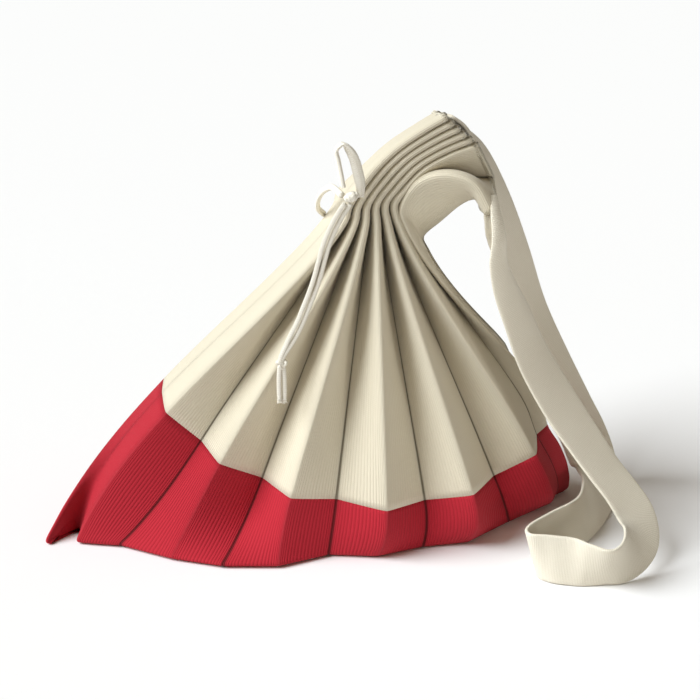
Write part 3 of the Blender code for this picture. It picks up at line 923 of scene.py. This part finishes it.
# The tall loop, from its right foot to its left one, with the way that the flat cord's width points
loopColumns = ("x", "y", "z", "wideX", "wideY", "wideZ")
loopRoute = (
    (0.0285, -0.043, 0.266, 0.90, -0.30, 0.25),
    (0.0280, -0.044, 0.275, 0.92, -0.28, 0.15),
    (0.0260, -0.045, 0.284, 0.93, -0.25, 0.25),
    (0.0235, -0.046, 0.293, 0.85, -0.45, 0.40),
    (0.0200, -0.047, 0.300, 0.55, -0.80, 0.40),
    (0.0160, -0.046, 0.304, 0.05, -1.00, 0.15),
    (0.0120, -0.044, 0.300, -0.15, -1.00, 0.05),
    (0.0130, -0.043, 0.293, 0.05, -1.00, 0.05),
    (0.0145, -0.042, 0.285, 0.15, -1.00, 0.05),
    (0.0160, -0.042, 0.277, 0.15, -1.00, 0.05),
    (0.0170, -0.043, 0.273, 0.10, -1.00, 0.05),
)
sideRoute = (
    (0.0158, -0.0438, 0.2678),
    (0.0120, -0.0330, 0.2700),
    (0.0120, -0.0180, 0.2650),
    (0.0110, 0.0000, 0.2560),
    (0.0115, 0.0180, 0.2440),
    (0.0140, 0.0310, 0.2330),
    (0.0201, 0.0413, 0.2247),
)
leftTail = (
    (0.0168, -0.047, 0.2633),
    (0.0120, -0.044, 0.2540),
    (0.0070, -0.042, 0.2430),
    (0.0030, -0.041, 0.2320),
    (0.0000, -0.040, 0.2200),
    (-0.0030, -0.039, 0.2080),
    (-0.0065, -0.038, 0.1970),
    (-0.0105, -0.038, 0.1870),
    (-0.0145, -0.038, 0.1770),
    (-0.0205, -0.038, 0.1650),
    (-0.0265, -0.039, 0.1520),
)


def cordKnit():
    finish = Finish("cordKnit")
    across, along = finish.clothMap()
    chevron = along + finish.wave(across, cordLook["rib"] * 2) * cordLook["rib"]
    loops = finish.wave(chevron, cordLook["stitch"])
    columns = finish.wave(across, cordLook["rib"] * 2)
    fuzz = finish.grain(*cordLook["fuzzGrain"])
    loopHeight, columnHeight, fuzzHeight = cordLook["heights"]
    height = loops * loopHeight + columns * columnHeight + fuzz * fuzzHeight
    # painted shade between the loops and the columns, with random tone from the fuzz
    loopShade, columnShade, fuzzShade = cordLook["shades"]
    dark = (1 - loops) * loopShade + (1 - columns) * columnShade + (fuzz - 0.5) * fuzzShade
    colour = finish.blend(finish.clamped(dark), cordLook["cream"], cordLook["groove"])
    smooth, rougher = cordLook["rough"]
    return finish.dress(colour, smooth + fuzz * rougher, height, cordLook["depth"], cordLook["sheen"])


creamCord = cordKnit()


def sweepBand(line, wide, sizes, closed=False):
    # points, faces and map of a flat rounded cord along a line, with its width and thickness at each point
    count, ring, runs = len(line), cordLook["section"], lineRuns(line)
    points, faces, places = [], [], []
    for k, (centre, (width, thick)) in enumerate(zip(line, sizes)):
        side, out = crossWays(line, k, wide[k], closed)
        for j in range(ring):
            turn = 2 * math.pi * j / ring
            x, y = (math.copysign(abs(v) ** cordLook["boxy"], v) for v in (math.cos(turn), math.sin(turn)))
            points.append(centre + side * (x * width / 2) + out * (y * thick / 2))
    girth = sizes[0][0] * cordLook["girth"]
    for k in range(count if closed else count - 1):
        low = (k + 1) % count
        top = runs[low] if low else runs[-1] + (line[0] - line[-1]).length
        for j in range(ring):
            after = (j + 1) % ring
            faces.append((k * ring + j, k * ring + after, low * ring + after, low * ring + j))
            left, right = girth * j / ring, girth * (j + 1) / ring
            places.append(((left, runs[k]), (right, runs[k]), (right, top), (left, top)))
    if not closed:
        for cap in (tuple(range(ring - 1, -1, -1)), tuple(range((count - 1) * ring, count * ring))):
            faces.append(cap)
            places.append(tuple((points[i].x, points[i].z) for i in cap))
    return points, faces, places


def joinParts(name, parts, finish):
    points, faces, places = [], [], []
    for morePoints, moreFaces, morePlaces in parts:
        first = len(points)
        points += morePoints
        faces += [tuple(first + i for i in face) for face in moreFaces]
        places += morePlaces
    return meshPiece(name, points, faces, places, finish)


def declareCord(piece, nodes, line):
    length = lineRuns(line)[-1]
    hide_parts(*nodes)
    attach(piece, "root")
    print(piece.name, round(length, 3), "m long")


def makeBowKnot():
    place, lean = bowKnotLook["place"], bowKnotLook["lean"].normalized()
    aft = lean.cross(Vector((0.0, 0.0, 1.0))).normalized()
    rise = aft.cross(lean)
    count = bowKnotLook["wrapPoints"]
    deep, tall = bowKnotLook["wrapRadii"]
    turns = [2 * math.pi * k / count for k in range(count)]
    wrap = [place + aft * (deep * math.cos(t)) + rise * (tall * math.sin(t)) for t in turns]
    rows = bowKnotLook["lump"]
    lump = [place + lean * reach for reach, width, thick in rows]
    sizes = [(width, thick) for reach, width, thick in rows]
    parts = [sweepBand(wrap, [lean] * count, [bowKnotLook["wrapSize"]] * count, True)]
    parts.append(sweepBand(lump, [aft] * len(lump), sizes))
    return joinParts("bowKnot", parts, creamCord)


def makeEndKnot():
    count = endKnotLook["points"]
    wide, deep, tall = endKnotLook["size"]
    tied = []
    for t in (2 * math.pi * k / count for k in range(count)):
        x, y, z = math.sin(t) + 2 * math.sin(2 * t), math.cos(t) - 2 * math.cos(2 * t), -math.sin(3 * t)
        tied.append(endKnotLook["place"] + Vector((x * wide, z * deep, y * tall)))
    part = sweepBand(tied, [endKnotLook["wide"]] * count, [endKnotLook["cordSize"]] * count, True)
    return joinParts("endKnot", [part], creamCord)


def makeKnots():
    bow, end = makeBowKnot(), makeEndKnot()
    for piece, node in ((bow, "drawstring_bow_knot"), (end, "drawstring_end_knot")):
        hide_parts(node)
        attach(piece, "root")
    return bow, end


def frayedEnd(place, way, wide):
    # each end's own tuft, and the same one in every run
    random.seed(round(place.x * 1e5))
    deep = way.cross(wide).normalized()
    count, size = frayLook["threads"], (frayLook["thread"], frayLook["thread"])
    parts = []
    for k in range(count):
        turn, reach = 2 * math.pi * k / count, random.uniform(*frayLook["reach"])
        spread = wide * (math.cos(turn) * frayLook["across"] * reach)
        spread = spread + deep * (math.sin(turn) * frayLook["deep"] * reach)
        length = random.uniform(*frayLook["length"])
        stations = zip((-frayLook["root"], length * 0.5, length), frayLook["spreads"])
        line = smoothLine([place + way * far + spread * share for far, share in stations], frayLook["steps"])
        parts.append(sweepBand(line, [wide] * len(line), [size] * len(line)))
    return parts


def makeTallLoop():
    rows = named(loopColumns, loopRoute)
    line = smoothLine([Vector((r["x"], r["y"], r["z"])) for r in rows], cordLook["steps"])
    wide = smoothLine([Vector((r["wideX"], r["wideY"], r["wideZ"])) for r in rows], cordLook["steps"])
    run, last = cordLook["footRun"], len(line) - 1
    grown = [min(k / run, (last - k) / run, 1.0) for k in range(len(line))]
    width, thick = cordLook["bowWidth"], cordLook["bowThick"]
    sizes = [(width * mix(cordLook["footWidth"], 1.0, share), thick) for share in grown]
    loop = joinParts("drawstringLoop", [sweepBand(line, wide, sizes)], creamCord)
    declareCord(loop, ["drawstring_loop"], line)


def makeSmallLoop():
    line = smoothLine([Vector(point) for point in sideRoute], cordLook["steps"])
    sizes = [(cordLook["sideWidth"], cordLook["sideThick"])] * len(line)
    parts = [sweepBand(line, [cordLook["sideWide"]] * len(line), sizes)]
    small = joinParts("drawstringSmallLoop", parts, creamCord)
    declareCord(small, ["drawstring_small_loop"], line)


def tailRoute(side):
    # the right tail lies beside the left one, and both go through the lower knot and down as an end
    right = side > 0
    apart = cordLook["tailApart"] if right else Vector()
    close = Vector((tipLook["apart"], 0.0, 0.0)) if right else Vector()
    knot = endKnotLook["place"]
    route = [Vector(point) + apart for point in leftTail[:-1]]
    route.append(Vector(leftTail[-1]) + close)
    route.append(knot + Vector((side * tipLook["knotApart"], 0.0, 0.0)))
    start = knot + Vector((side * tipLook["apart"], 0.0, -tipLook["drop"]))
    route.append(start)
    for share in tipLook["shares"]:
        out = tipLook["splay"] * share + math.sin(math.pi * share) * tipLook["bow"]
        route.append(start + Vector((side * out, 0.0, -tipLook["length"] * share)))
    return route


def makeTail(side, word):
    line = smoothLine(tailRoute(side), cordLook["steps"])
    wide = [cordLook["tailWide"]] * len(line)
    cut = list(tipLook["cutSizes"])
    sizes = [(cordLook["tailWidth"], cordLook["tailThick"])] * (len(line) - len(cut)) + cut
    parts = [sweepBand(line, wide, sizes)]
    parts += frayedEnd(line[-1], (line[-1] - line[-2]).normalized(), wide[0])
    tail = joinParts("drawstringTail" + word.title(), parts, creamCord)
    nodes = ["drawstring_tail_" + word, "drawstring_tip_" + word]
    declareCord(tail, nodes, line)


def makeDrawstring():
    bow, end = makeKnots()
    makeTallLoop()
    makeSmallLoop()
    makeTail(-1, "left")
    makeTail(1, "right")


makeDrawstring()


# Overlock stitches: one thread that goes over and over the hem
overlock = {
    "pitch": 0.0023,
    "thread": 0.00095,
    "proud": 0.00055,
    "reach": 0.0030,
    "round": 4,
    "sides": (1, 0, -1, 0),  # a stitch's points: outer face, over the hem, inner face, over the hem
    "cream": (0.860, 0.820, 0.700, 1.0),
    "shade": (0.620, 0.550, 0.400, 1.0),
    "twistGrain": (0.0004, 2.0),
    "rough": 0.75,
    "depth": 0.0001,
    "sheen": 0.1,
}


def overlockLine(grid, offsets):
    # the thread's points round the hem, the way along the hem at each, and how many stitches there are
    hem, low = grid[0] + grid[0][:1], grid[1] + grid[1][:1]
    outs = offsets[0] + offsets[0][:1]
    runs = lineRuns(hem)
    count, perStitch = int(runs[-1] / overlock["pitch"]), len(overlock["sides"])
    proud = cloth["wall"] / 2 + overlock["proud"]
    line, ways = [], []
    k = 0
    for step in range(count * perStitch):
        place = (step / perStitch) * runs[-1] / count
        while runs[k + 1] < place:
            k += 1
        t = (place - runs[k]) / (runs[k + 1] - runs[k])
        top, below = hem[k].lerp(hem[k + 1], t), low[k].lerp(low[k + 1], t)
        out = outs[k].lerp(outs[k + 1], t).normalized()
        down = (below - top).normalized()
        side = overlock["sides"][step % perStitch]
        reach = overlock["reach"] if side else -overlock["proud"] * 2
        line.append(top + down * reach + out * (proud * side))
        ways.append(down.cross(out))
    return line, ways, count


def overlockThread():
    finish = Finish("overlockThread")
    twist = finish.grain(*overlock["twistGrain"])
    colour = finish.blend(twist, overlock["cream"], overlock["shade"])
    return finish.dress(colour, overlock["rough"], twist, overlock["depth"], overlock["sheen"])


def makeOverlock(grid, offsets):
    line, ways, count = overlockLine(grid, offsets)
    ring = overlock["round"]
    points, faces, places = [], [], []
    for k, centre in enumerate(line):
        side, out = crossWays(line, k, ways[k], True)
        for j in range(ring):
            turn = 2 * math.pi * (j + 0.5) / ring
            points.append(centre + (side * math.cos(turn) + out * math.sin(turn)) * (overlock["thread"] / 2))
    for k in range(len(line)):
        low = (k + 1) % len(line)
        for j in range(ring):
            after = (j + 1) % ring
            faces.append((k * ring + j, k * ring + after, low * ring + after, low * ring + j))
            places.append(((j, k), (j + 1, k), (j + 1, k + 1), (j, k + 1)))
    piece = meshPiece("hemStitches", points, faces, places, overlockThread())
    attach(piece, "root")
    print(piece.name, count, "stitches")


makeOverlock(clothRows, clothOffsets)


# Floor and light
studio = {
    "floor": (0.90, 0.89, 0.885, 1.0),
    "floorSize": 14.0,
    "floorRough": 0.9,
    "world": (1.0, 0.86, 0.66, 1.0),
    "worldStrength": 0.21,
    "keyTurn": -87.0,
    "keyRise": 42.0,
    "keyWidth": 40.0,
    "keyStrength": 4.6,
    "keyColour": (0.91, 0.96, 1.0),
    "fillPlace": (0.62, -0.62, 0.22),
    "fillAim": (0.17, -0.06, 0.14),
    "fillSize": 0.25,
    "fillPower": 0.032,
    "fillSpread": 18.0,
}


def makeFloor():
    bpy.ops.object.select_all(action="DESELECT")
    bpy.ops.mesh.primitive_plane_add(size=studio["floorSize"], location=(0.0, 0.0, 0.0))
    floor = bpy.context.object
    floor.name = "studioFloor"
    paint = Finish("studioFloor")
    paint.feed(paint.shader, "Base Color", studio["floor"])
    paint.feed(paint.shader, "Roughness", studio["floorRough"])
    floor.data.materials.append(paint.material)


def addLight(name, kind, way, place=(0.0, 0.0, 0.0)):
    data = bpy.data.lights.new(name, kind)
    lamp = bpy.data.objects.new(name, data)
    lamp.location = place
    lamp.rotation_mode = "QUATERNION"
    lamp.rotation_quaternion = (-Vector(way)).to_track_quat("-Z", "Y")
    bpy.context.scene.collection.objects.link(lamp)
    return data


def makeLight():
    world = bpy.data.worlds.new("paleRoom")
    world.use_nodes = True
    background = world.node_tree.nodes["Background"]
    background.inputs["Color"].default_value = studio["world"]
    background.inputs["Strength"].default_value = studio["worldStrength"]
    bpy.context.scene.world = world
    bpy.context.scene.view_settings.view_transform = "Standard"
    key = addLight("windowLight", "SUN", wayTo(studio["keyTurn"], studio["keyRise"]))
    key.angle, key.energy = math.radians(studio["keyWidth"]), studio["keyStrength"]
    key.color = studio["keyColour"]
    place, aim = Vector(studio["fillPlace"]), Vector(studio["fillAim"])
    fill = addLight("strapLight", "AREA", place - aim, place)
    fill.size, fill.energy = studio["fillSize"], studio["fillPower"]
    fill.spread = math.radians(studio["fillSpread"])


makeFloor()
makeLight()
print("stage made")
